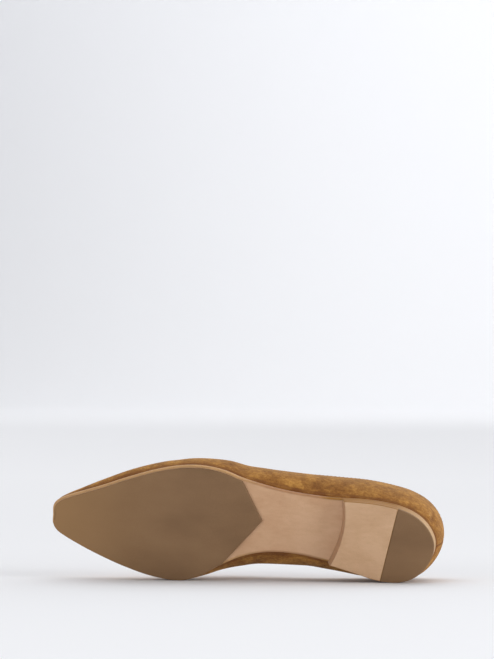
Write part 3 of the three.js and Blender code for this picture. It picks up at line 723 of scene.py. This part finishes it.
def stitch_tree(thread):
    """Geometry nodes that set one rounded stitch at each step along a path, flat on the suede."""
    tree = bpy.data.node_groups.new("stitches along a path", "GeometryNodeTree")
    tree.interface.new_socket("Geometry", in_out="INPUT", socket_type="NodeSocketGeometry")
    for name in ("Pitch", "Length", "Width"):
        tree.interface.new_socket(name, in_out="INPUT", socket_type="NodeSocketFloat")
    tree.interface.new_socket("Geometry", in_out="OUTPUT", socket_type="NodeSocketGeometry")
    given = add(tree, "NodeGroupInput").outputs
    path = add(tree, "GeometryNodeMeshToCurve", {"Mesh": given["Geometry"]}).outputs[0]
    steps = add(tree, "GeometryNodeResampleCurve", {"Curve": path, "Length": given["Pitch"]}, mode="LENGTH")
    along = add(tree, "GeometryNodeInputTangent").outputs[0]
    outward = add(tree, "GeometryNodeInputNamedAttribute", {"Name": "outward"}, data_type="FLOAT_VECTOR")
    turn = add(tree, "FunctionNodeAlignRotationToVector", {"Vector": along}, axis="X")
    sockets = {"Rotation": turn.outputs[0], "Vector": outward.outputs[0]}
    lift = add(tree, "FunctionNodeAlignRotationToVector", sockets, axis="Z", pivot_axis="X")
    bead = add(tree, "GeometryNodeMeshIcoSphere", {"Radius": 0.5, "Subdivisions": 2}).outputs[0]
    sockets = {"X": given["Length"], "Y": given["Width"], "Z": given["Width"]}
    size = add(tree, "ShaderNodeCombineXYZ", sockets).outputs[0]
    stitch = add(tree, "GeometryNodeTransform", {"Geometry": bead, "Scale": size}).outputs[0]
    sockets = {"Points": steps.outputs[0], "Instance": stitch, "Rotation": lift.outputs[0]}
    placed = add(tree, "GeometryNodeInstanceOnPoints", sockets).outputs[0]
    real = add(tree, "GeometryNodeRealizeInstances", {"Geometry": placed}).outputs[0]
    smooth = add(tree, "GeometryNodeSetShadeSmooth", {"Geometry": real}).outputs[0]
    threaded = add(tree, "GeometryNodeSetMaterial", {"Geometry": smooth, "Material": thread}).outputs[0]
    add(tree, "NodeGroupOutput", {"Geometry": threaded})
    return tree


def stitch_row(name, spots, outward, thread):
    """A closed row of stitches through laid-down places, as a plain mesh."""
    mesh = bpy.data.meshes.new(name + "_path")
    count = len(spots)
    mesh.from_pydata(spots, [(k, (k + 1) % count) for k in range(count)], [])
    layer = mesh.attributes.new("outward", "FLOAT_VECTOR", "POINT")
    layer.data.foreach_set("vector", np.asarray(outward, dtype=np.float32).ravel())
    guide = bpy.data.objects.new(name + "_path", mesh)
    bpy.context.scene.collection.objects.link(guide)
    modifier = guide.modifiers.new("stitches", "NODES")
    modifier.node_group = stitch_tree(thread)
    sizes = {"Pitch": STITCH_PITCH, "Length": STITCH_LENGTH, "Width": STITCH_WIDTH}
    for socket in modifier.node_group.interface.items_tree:
        if socket.in_out == "INPUT" and socket.name in sizes:
            modifier[socket.identifier] = sizes[socket.name]
    depsgraph = bpy.context.evaluated_depsgraph_get()
    stitched = bpy.data.meshes.new_from_object(guide.evaluated_get(depsgraph))
    guide.modifiers.clear()
    bpy.data.objects.remove(guide)
    stitched.name = name
    standing = (np.array([vertex.co for vertex in stitched.vertices]) - np.array(heel_back)) @ laid_turn.T
    layer = stitched.attributes.new("standing", "FLOAT_VECTOR", "POINT")
    layer.data.foreach_set("vector", standing.astype(np.float32).ravel())
    row = bpy.data.objects.new(name, stitched)
    bpy.context.scene.collection.objects.link(row)
    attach(row, "root")
    return row


outside_faces = [face for face in upper_faces if 0 < face[1] % per_column < outside_rows]
upper_laid = np.concatenate(upper_spots) @ laid_turn + np.array(heel_back)
upper_tree = BVHTree.FromPolygons(upper_laid.tolist(), outside_faces)
edge_laid = np.array(topline_edge) @ laid_turn + np.array(heel_back)
stitch_spots = []
stitch_outward = []
for k, spot in enumerate(edge_laid):
    along = Vector(edge_laid[(k + 1) % len(edge_laid)] - edge_laid[k - 1]).normalized()
    _, facing, _, _ = upper_tree.find_nearest(Vector(spot))
    inward = along.cross(facing).normalized()
    place, facing, _, _ = upper_tree.find_nearest(Vector(spot) + inward * STITCH_DROP)
    stitch_spots.append(place - facing * STITCH_SINK)
    stitch_outward.append(facing)
stitch_row("topline_stitches", stitch_spots, stitch_outward, waxed_thread())


# The outsole
# One plate of vegetable-tanned sole leather, cemented under the lasted upper. Its edge is trimmed, bevelled
# below and left light, and its waist is sanded and glazed.
EDGE_BEVEL = 0.0008
EDGE_SOFTENED = 0.0003
TOP_ROUND = 0.0003
OUTSOLE_LIGHT = "#d4ac88"
OUTSOLE_DARK = "#c79c77"
# Ochre for the edge under the upper's overhang: painted shade with the suede's bounce light.
EDGE_SHADED_OCHRE = "#a1702f"
EDGE_WAIST = "#b4855e"
EDGE_TAN = "#c79a66"
# A darker brown for the heel's breast: painted shade in the corner under the waist.
BREAST_SHADE_BROWN = "#b78e6c"
EDGE_BEIGE = "#c9a478"
TAN_CLOUDS = 0.018
TAN_STRETCH = 1.5
FIBRE_SIZE = 0.0022
FIBRE_STRETCH = 3.0
FIBRE_DEPTH = 0.0001
PORE_SPACING = 0.0011
PORE_DEPTH = 0.00008


def sole_leather(name, light, dark):
    """Bark-tanned sole leather, sanded and glazed: pores, faint fibre streaks and a dull gloss."""
    material, tree, shader, place = start_material(name)
    drawn = add(tree, "ShaderNodeMapping", {"Vector": place, "Scale": (1 / TAN_STRETCH, 1, 1)}).outputs[0]
    sockets = {"Vector": drawn, "Scale": 1 / TAN_CLOUDS, "Detail": 3}
    clouds = add(tree, "ShaderNodeTexNoise", sockets).outputs[0]
    drawn = add(tree, "ShaderNodeMapping", {"Vector": place, "Scale": (1 / FIBRE_STRETCH, 1, 1)}).outputs[0]
    sockets = {"Vector": drawn, "Scale": 1 / FIBRE_SIZE, "Detail": 4, "Roughness": 0.6}
    fibres = add(tree, "ShaderNodeTexNoise", sockets).outputs[0]
    sockets = {"Vector": place, "Scale": 1 / PORE_SPACING, "Randomness": 1}
    pores = add(tree, "ShaderNodeTexVoronoi", sockets).outputs["Distance"]
    mixed = add(tree, "ShaderNodeMix", {0: 0.35, 2: clouds, 3: fibres}).outputs[0]
    colour = add(tree, "ShaderNodeValToRGB", {"Fac": mixed}, [(0.36, dark), (0.62, light)]).outputs[0]
    dots = add(tree, "ShaderNodeValToRGB", {"Fac": pores}, [(0.08, 0.82), (0.30, 1.0)]).outputs[0]
    multiplied = dict(data_type="RGBA", blend_type="MULTIPLY")
    colour = add(tree, "ShaderNodeMix", {0: 0.55, 6: colour, 7: dots}, **multiplied).outputs[2]

    # The edge's colour changes along the sole; its ochre stretch round the seat is painted shade under the
    # upper's overhang, tinted by bounce light from the suede.
    along = add(tree, "ShaderNodeSeparateXYZ", {0: place}).outputs["X"]
    share = add(tree, "ShaderNodeMath", {0: along, 1: 1 / SOLE_LENGTH}, operation="MULTIPLY").outputs[0]
    stops = [(0.03, EDGE_BEIGE), (0.11, EDGE_SHADED_OCHRE), (0.28, EDGE_SHADED_OCHRE), (0.31, EDGE_WAIST)]
    stops += [(0.44, EDGE_WAIST), (0.52, EDGE_TAN)]
    edge_colour_and_shade = add(tree, "ShaderNodeValToRGB", {"Fac": share}, stops).outputs[0]
    grain = add(tree, "ShaderNodeValToRGB", {"Fac": fibres}, [(0.35, 0.88), (0.60, 1.0)]).outputs[0]
    edge_colour_and_shade = add(tree, "ShaderNodeMix", {0: 1.0, 6: edge_colour_and_shade, 7: grain}, **multiplied).outputs[2]
    # The heel's breast is painted a plain darker brown: painted shade on the face in the corner under the
    # waist.
    for mark, shade in (("edge", edge_colour_and_shade), ("breast", linear(BREAST_SHADE_BROWN))):
        marked = add(tree, "ShaderNodeAttribute", attribute_name=mark).outputs["Fac"]
        colour = add(tree, "ShaderNodeMix", {0: marked, 6: colour, 7: shade}, data_type="RGBA").outputs[2]
    tree.links.new(colour, shader.inputs["Base Color"])

    gloss = add(tree, "ShaderNodeValToRGB", {"Fac": clouds}, [(0.3, 0.50), (0.7, 0.62)]).outputs[0]
    tree.links.new(gloss, shader.inputs["Roughness"])
    shader.inputs["Specular IOR Level"].default_value = 0.35
    sockets = {"Height": pores, "Distance": PORE_DEPTH, "Strength": 0.5}
    relief = add(tree, "ShaderNodeBump", sockets).outputs[0]
    sockets = {"Height": fibres, "Distance": FIBRE_DEPTH, "Strength": 0.6, "Normal": relief}
    relief = add(tree, "ShaderNodeBump", sockets).outputs[0]
    tree.links.new(relief, shader.inputs["Normal"])
    return material


outsole = plate(
    "leather_outsole",
    sole_loop(0),
    underside_height,
    [
        (EDGE_BEVEL + FLAT_RING / 2, 0),
        (EDGE_BEVEL / 2 + EDGE_SOFTENED, 0),
        (EDGE_BEVEL / 2, EDGE_BEVEL / 10),
        (EDGE_BEVEL / 8, EDGE_BEVEL * 0.75),
        (0, EDGE_BEVEL),
        (0, OUTSOLE_THICKNESS - TOP_ROUND),
        (TOP_ROUND / 3, OUTSOLE_THICKNESS - TOP_ROUND / 3),
        (TOP_ROUND, OUTSOLE_THICKNESS),
        (FLAT_RING, OUTSOLE_THICKNESS),
    ],
)
outsole_leather = sole_leather("bark-tanned sole leather", OUTSOLE_LIGHT, OUTSOLE_DARK)
outsole.data.materials.append(outsole_leather)
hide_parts("outsole")


# The half sole
# A thin sheet of rubber cemented under the forepart against slipping, cut to the edge and ending in a V
# towards the heel. Its face is finely ground and dull.
MARGIN_OUTER = 0.0015
MARGIN_INNER = 0.0004
RUBBER_ROUND = 0.0004
CEMENT = 0.00005
VEE = dict(outer_at=0.499, inner_at=0.545, tip_at=0.446, tip_across=0.108)
VEE_COLUMNS = 24
RUBBER_LIGHT = "#8f6f4f"
RUBBER_DARK = "#7c5e41"
# Painted light: a lighter rubber colour towards the toe, for the light its turned-up end catches.
RUBBER_TOE_LIT = "#9f7a50"
RUBBER_CLOUDS = 0.030
RUBBER_STRETCH = 1.8
GRIND_SIZE = 0.0006
GRIND_DEPTH = 0.00006
TOE_LIGHT_FROM = 0.165
TOE_LIGHT_TO = 0.275


def half_sole_margin(side, share):
    """The rubber keeps further from the outer edge than from the inner one, evened out around the toe."""
    lean = side * smooth_step(np.asarray(share), 0, 0.2)
    return (MARGIN_OUTER + MARGIN_INNER + lean * (MARGIN_OUTER - MARGIN_INNER)) / 2


def sole_rubber(name, light, dark):
    """Thin soling rubber, ground on a wheel: dull, faintly speckled, with a few worn clouds, and painted
    lighter towards the toe.
    """
    material, tree, shader, place = start_material(name)
    drawn = add(tree, "ShaderNodeMapping", {"Vector": place, "Scale": (1 / RUBBER_STRETCH, 1, 1)}).outputs[0]
    sockets = {"Vector": drawn, "Scale": 1 / RUBBER_CLOUDS, "Detail": 3}
    clouds = add(tree, "ShaderNodeTexNoise", sockets).outputs[0]
    sockets = {"Vector": place, "Scale": 1 / GRIND_SIZE, "Detail": 2, "Roughness": 0.6}
    speckle = add(tree, "ShaderNodeTexNoise", sockets).outputs[0]
    mixed = add(tree, "ShaderNodeMix", {0: 0.30, 2: clouds, 3: speckle}).outputs[0]
    colour = add(tree, "ShaderNodeValToRGB", {"Fac": mixed}, [(0.35, dark), (0.65, light)]).outputs[0]
    # Painted light: the rubber turns lighter towards the toe, standing in for the light on its turned-up end.
    along = add(tree, "ShaderNodeSeparateXYZ", {0: place}).outputs["X"]
    sockets = {"Value": along, "From Min": TOE_LIGHT_FROM, "From Max": TOE_LIGHT_TO, "To Max": 0.85}
    near_toe = add(tree, "ShaderNodeMapRange", sockets, interpolation_type="SMOOTHSTEP").outputs[0]
    sockets = {0: near_toe, 6: colour, 7: linear(RUBBER_TOE_LIT)}
    colour = add(tree, "ShaderNodeMix", sockets, data_type="RGBA").outputs[2]
    sockets = {"Height": speckle, "Distance": GRIND_DEPTH, "Strength": 0.6}
    relief = add(tree, "ShaderNodeBump", sockets).outputs[0]
    tree.links.new(colour, shader.inputs["Base Color"])
    tree.links.new(relief, shader.inputs["Normal"])
    shader.inputs["Roughness"].default_value = 0.72
    shader.inputs["Specular IOR Level"].default_value = 0.3
    return material


def tread_height(x):
    return underside_height(x) - HALF_SOLE_THICKNESS


outer_row = row_at(1, VEE["outer_at"] * SOLE_LENGTH)
inner_row = row_at(-1, VEE["inner_at"] * SOLE_LENGTH)
vee_outer = edge_place(1, outer_row, MARGIN_OUTER)[0]
vee_inner = edge_place(-1, inner_row, MARGIN_INNER)[0]
vee_tip = np.array([VEE["tip_at"] * SOLE_LENGTH, VEE["tip_across"] * BALL_WIDTH])
vee_share = np.arange(VEE_COLUMNS)[:, None] / VEE_COLUMNS
vee_there = vee_outer + (vee_tip - vee_outer) * vee_share
vee_back = vee_inner + (vee_tip - vee_inner) * vee_share
vee = np.concatenate([vee_there, vee_tip[None], vee_back[::-1]])
half_sole = plate(
    "rubber_half_sole",
    sole_loop(half_sole_margin, outer_row, inner_row, vee),
    tread_height,
    [
        (FLAT_RING * 0.6, 0),
        (RUBBER_ROUND, 0),
        (RUBBER_ROUND / 4, RUBBER_ROUND / 3),
        (0, RUBBER_ROUND),
        (0, HALF_SOLE_THICKNESS - CEMENT),
        (FLAT_RING / 2, HALF_SOLE_THICKNESS - CEMENT),
    ],
)
ground_rubber = sole_rubber("ground soling rubber", RUBBER_LIGHT, RUBBER_DARK)
half_sole.data.materials.append(ground_rubber)
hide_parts("half_sole")


# The heel
# A low lift of stacked leather under the seat, and under it the top piece: leather in front and a rubber tip
# behind, cut askew. The lift's breast is hollow and slopes forward up to the waist.
TOP_PIECE_THICKNESS = 0.0024
HEEL_BEVEL = 0.0005
HEEL_LENGTH = 0.0608
BREAST_HOLLOW = 0.004
BREAST_SKEW = 0.0075
BREAST_SLOPE = 0.0026
TIP_LENGTH = 0.0295
TIP_SKEW = 0.0098
JOINT_GAP = 0.00008
JOINT_SQUARE = 0.15
HEEL_STEPS = 36
SEAT_STEPS = 91
LAYER_THICKNESS = 0.0017
LAYER_GROOVE = 0.00008
GROOVE_REACH = 0.0001
TOP_LAYER_LEAST = 0.0006
LIFT_ROUND = 0.0001
LIFT_RING = 0.0005
TOP_PIECE_RING = 0.0008
TOP_PIECE_ROUND = 0.0002
HEEL_LIGHT = "#d5af8a"
HEEL_DARK = "#c8a07a"

joint_start = np.array([TIP_LENGTH - TIP_SKEW / 2, SEAT_WIDTH / 2])
joint_end = np.array([TIP_LENGTH + TIP_SKEW / 2, -SEAT_WIDTH / 2])
joint_along = (joint_end - joint_start) / np.linalg.norm(joint_end - joint_start)
joint_ahead = np.array([-joint_along[1], joint_along[0]])


def heel_plan(height, part):
    """The heel's plan, or its part before or behind the joint: outer side, back, inner side, front."""
    length = HEEL_LENGTH + BREAST_SLOPE * height / HEEL_HEIGHT
    outer_start = row_at(1, length)
    inner_start = row_at(-1, length + BREAST_SKEW)
    share = np.linspace(0, 1, SEAT_STEPS)
    outer = edge_place(1, outer_start + (ROWS - outer_start) * share)
    inner = edge_place(-1, inner_start + (ROWS - inner_start) * share[:-1])[::-1]
    seat = np.concatenate([outer, inner])
    front_end = seat[-1] + (seat[0] - seat[-1]) * share[:, None]
    front_end[:, 0] -= BREAST_HOLLOW * 4 * share * (1 - share)
    if part != "whole":
        beyond = (seat - joint_start) @ joint_ahead - (JOINT_GAP / 2 if part == "front" else -JOINT_GAP / 2)
        crossed = np.nonzero(beyond[:-1] * beyond[1:] < 0)[0]
        cut = [seat[k] + (seat[k + 1] - seat[k]) * beyond[k] / (beyond[k] - beyond[k + 1]) for k in crossed]
        if part == "front":
            outer = np.concatenate([seat[: crossed[0] + 1], cut[:1]])
            inner = np.concatenate([cut[1:], seat[crossed[1] + 1 :]])
            return even_loop([outer, np.array(cut), inner, front_end])
        seat = np.concatenate([cut[:1], seat[crossed[0] + 1 : crossed[1] + 1], cut[1:]])
        front_end = np.array(cut[::-1])
    a, b = len(seat) // 3, 2 * len(seat) // 3
    return even_loop([seat[: a + 1], seat[a : b + 1], seat[b:], front_end])


def even_loop(stretches):
    """One loop with the same number of even steps in each stretch."""
    loop = []
    for stretch in stretches:
        walked = np.concatenate([[0], np.cumsum(np.linalg.norm(np.diff(stretch, axis=0), axis=1))])
        wanted = np.linspace(0, walked[-1], HEEL_STEPS, endpoint=False)
        loop.append(np.column_stack([np.interp(wanted, walked, stretch[:, k]) for k in (0, 1)]))
    return np.concatenate(loop)


def flat_end(ring, first, spare):
    """Places and faces that fill a four-sided ring: its own places start at first, the new ones at spare."""
    n = HEEL_STEPS
    closed = np.concatenate([ring, ring[:1]])
    outer, back, inner, front = (closed[k * n : (k + 1) * n + 1] for k in range(4))
    u, v = np.meshgrid(np.arange(n + 1) / n, np.arange(n + 1) / n, indexing="ij")
    u, v = u[:, :, None], v[:, :, None]
    places = (1 - u) * front[::-1][None] + u * back[None]
    places += (1 - v) * outer[:, None] + v * inner[::-1][:, None]
    places -= (1 - u) * ((1 - v) * outer[0] + v * inner[-1]) + u * ((1 - v) * outer[-1] + v * inner[0])
    number = np.zeros((n + 1, n + 1), dtype=int)
    number[1:-1, 1:-1] = spare + np.arange((n - 1) ** 2).reshape(n - 1, n - 1)
    steps = np.arange(n + 1)
    number[:, 0] = first + steps
    number[n, :] = first + n + steps
    number[:, n] = first + 3 * n - steps
    number[0, :] = first + (4 * n - steps) % (4 * n)
    corners = (number[:-1, :-1], number[1:, :-1], number[1:, 1:], number[:-1, 1:])
    faces = list(zip(*(corner.ravel().tolist() for corner in corners)))
    return places[1:-1, 1:-1].reshape(-1, 3), faces


def heel_piece(name, layers, part):
    """A flat-faced block with the heel's plan and a ring for each layer."""
    rings = []
    for inset, height in layers:
        insets = np.full(4 * HEEL_STEPS, float(inset))
        if part == "rear":
            insets[-HEEL_STEPS:] *= JOINT_SQUARE
        closed = inset_loop(heel_plan(height, part), insets)
        closed = np.concatenate([closed, closed[:1]])
        spots = even_loop([closed[k * HEEL_STEPS : (k + 1) * HEEL_STEPS + 1] for k in range(4)])
        rings.append(np.column_stack([spots, np.full(len(spots), height)]))
    count = len(rings[0])
    last = (len(rings) - 1) * count
    faces = ring_faces(count, len(rings))
    bottom, bottom_faces = flat_end(rings[0], 0, last + count)
    top, top_faces = flat_end(rings[-1], last, last + count + len(bottom))
    faces += [face[::-1] for face in bottom_faces] + top_faces
    side = np.zeros((len(rings), count))
    side[2:-1] = 1
    breast = np.zeros((len(rings), count))
    if part != "rear":
        breast[2:-1, -HEEL_STEPS:] = 1
    inside = np.zeros(len(bottom) + len(top))
    marks = {"edge": np.append(side * (1 - breast), inside), "breast": np.append(breast, inside)}
    return make_piece(name, np.concatenate([*rings, bottom, top]), faces, marks)


lift_bottom = TOP_PIECE_THICKNESS
lift_top = HEEL_HEIGHT - LIFT_ROUND
lift_layers = [(LIFT_RING, lift_bottom), (LIFT_ROUND, lift_bottom), (0, lift_bottom + LIFT_ROUND * 2)]
for groove in np.arange(lift_bottom + LAYER_THICKNESS, HEEL_HEIGHT - TOP_LAYER_LEAST, LAYER_THICKNESS):
    lift_layers += [(0, groove - GROOVE_REACH), (LAYER_GROOVE, groove), (0, groove + GROOVE_REACH)]
lift_layers += [(0, lift_top), (LIFT_RING, lift_top)]
heel_lift = heel_piece("stacked_heel_lift", lift_layers, "whole")
heel_leather = sole_leather("bark-tanned heel leather", HEEL_LIGHT, HEEL_DARK)
heel_lift.data.materials.append(heel_leather)
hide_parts("heel_lift")

top_piece_layers = [
    (TOP_PIECE_RING, 0),
    (HEEL_BEVEL, 0),
    (HEEL_BEVEL / 3, HEEL_BEVEL / 3),
    (0, HEEL_BEVEL),
    (0, TOP_PIECE_THICKNESS - TOP_PIECE_ROUND),
    (TOP_PIECE_ROUND * 3, TOP_PIECE_THICKNESS - TOP_PIECE_ROUND * 0.75),
]
top_leather = heel_piece("top_piece_leather", top_piece_layers, "front")
top_leather.data.materials.append(heel_leather)
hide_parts("heel_top_leather")

top_rubber = heel_piece("top_piece_rubber_tip", top_piece_layers, "rear")
top_rubber.data.materials.append(ground_rubber)
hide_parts("heel_top_rubber")


# The floor and the light
# A pale paper sweep under and behind the shoe. A wide soft light leans over it from behind, two low lamps
# light the shoe from its two ends, and a third lights the far paper. Sizes are in metres and degrees.
PAPER = "#eff0f3"
SWEEP_FRONT = -6.0
SWEEP_BACK = 6.0
SWEEP_RADIUS = 1.0
SWEEP_HEIGHT = 1.4
SWEEP_HALF_WIDTH = 6.0
SWEEP_STEPS = 24
GLOW_REACH = 1.6
GLOW_STRENGTH = 0.11
SKY_STRENGTH = 2.0
SKY_SPREAD = 95
SKY_LEAN = 36
LAMPS = [
    dict(name="left", place=(-1.7, -1.7, 0.55), aim=(-0.05, 0, 0.04), size=1.0, power=13, spread=180),
    dict(name="right", place=(1.9, -0.6, 0.6), aim=(0.05, 0, 0.04), size=1.0, power=19, spread=180),
    dict(name="backdrop", place=(0, 3.2, 2.4), aim=(0, 6.0, 1.0), size=2.2, power=14.5, spread=80),
]
ROOM_COLOUR = "#f4f4f6"
ROOM_STRENGTH = 0.34


def sweep_paper():
    """Matt pale paper. A faint glow that grows with distance stands in for the light on the far floor."""
    material = bpy.data.materials.new("pale paper")
    material.use_nodes = True
    tree = material.node_tree
    place = add(tree, "ShaderNodeTexCoord").outputs["Object"]
    behind = add(tree, "ShaderNodeSeparateXYZ", {0: place}).outputs["Y"]
    behind = add(tree, "ShaderNodeMath", {0: behind, 1: 1 / GLOW_REACH}, operation="MULTIPLY").outputs[0]
    stops = [(0.02, 0.0), (0.20, 0.35), (1.0, 1.0)]
    glow = add(tree, "ShaderNodeValToRGB", {"Fac": behind}, stops).outputs[0]
    glow = add(tree, "ShaderNodeMath", {0: glow, 1: GLOW_STRENGTH}, operation="MULTIPLY").outputs[0]
    shader = tree.nodes["Principled BSDF"]
    tree.links.new(glow, shader.inputs["Emission Strength"])
    shader.inputs["Emission Color"].default_value = linear(PAPER)
    shader.inputs["Base Color"].default_value = linear(PAPER)
    shader.inputs["Roughness"].default_value = 0.9
    shader.inputs["Specular IOR Level"].default_value = 0.0
    return material


sweep_line = [(SWEEP_FRONT, 0.0), (SWEEP_BACK - SWEEP_RADIUS, 0.0)]
for step in range(1, SWEEP_STEPS + 1):
    angle = math.pi / 2 * step / SWEEP_STEPS
    back = SWEEP_BACK - SWEEP_RADIUS + SWEEP_RADIUS * math.sin(angle)
    sweep_line.append((back, SWEEP_RADIUS * (1 - math.cos(angle))))
sweep_line.append((SWEEP_BACK, SWEEP_HEIGHT))
sweep_spots = [(side * SWEEP_HALF_WIDTH, y, z) for y, z in sweep_line for side in (-1, 1)]
sweep_faces = [(2 * k, 2 * k + 1, 2 * k + 3, 2 * k + 2) for k in range(len(sweep_line) - 1)]
sweep_mesh = bpy.data.meshes.new("paper_sweep")
sweep_mesh.from_pydata(sweep_spots, [], sweep_faces)
sweep_mesh.polygons.foreach_set("use_smooth", [True] * len(sweep_faces))
sweep = bpy.data.objects.new("paper_sweep", sweep_mesh)
bpy.context.scene.collection.objects.link(sweep)
sweep_mesh.materials.append(sweep_paper())

sky = bpy.data.objects.new("ceiling_light", bpy.data.lights.new("ceiling_light", "SUN"))
sky.data.energy = SKY_STRENGTH
sky.data.angle = math.radians(SKY_SPREAD)
sky.rotation_euler = (math.radians(-SKY_LEAN), 0, 0)
bpy.context.scene.collection.objects.link(sky)
for row in LAMPS:
    lamp = bpy.data.objects.new(row["name"], bpy.data.lights.new(row["name"], "AREA"))
    lamp.data.size = row["size"]
    lamp.data.energy = row["power"]
    lamp.data.spread = math.radians(row["spread"])
    lamp.location = row["place"]
    lamp.rotation_euler = (Vector(row["aim"]) - Vector(row["place"])).to_track_quat("-Z", "Y").to_euler()
    bpy.context.scene.collection.objects.link(lamp)
room = bpy.data.worlds.new("studio")
bpy.context.scene.world = room
room.use_nodes = True
room.node_tree.nodes["Background"].inputs["Color"].default_value = linear(ROOM_COLOUR)
room.node_tree.nodes["Background"].inputs["Strength"].default_value = ROOM_STRENGTH
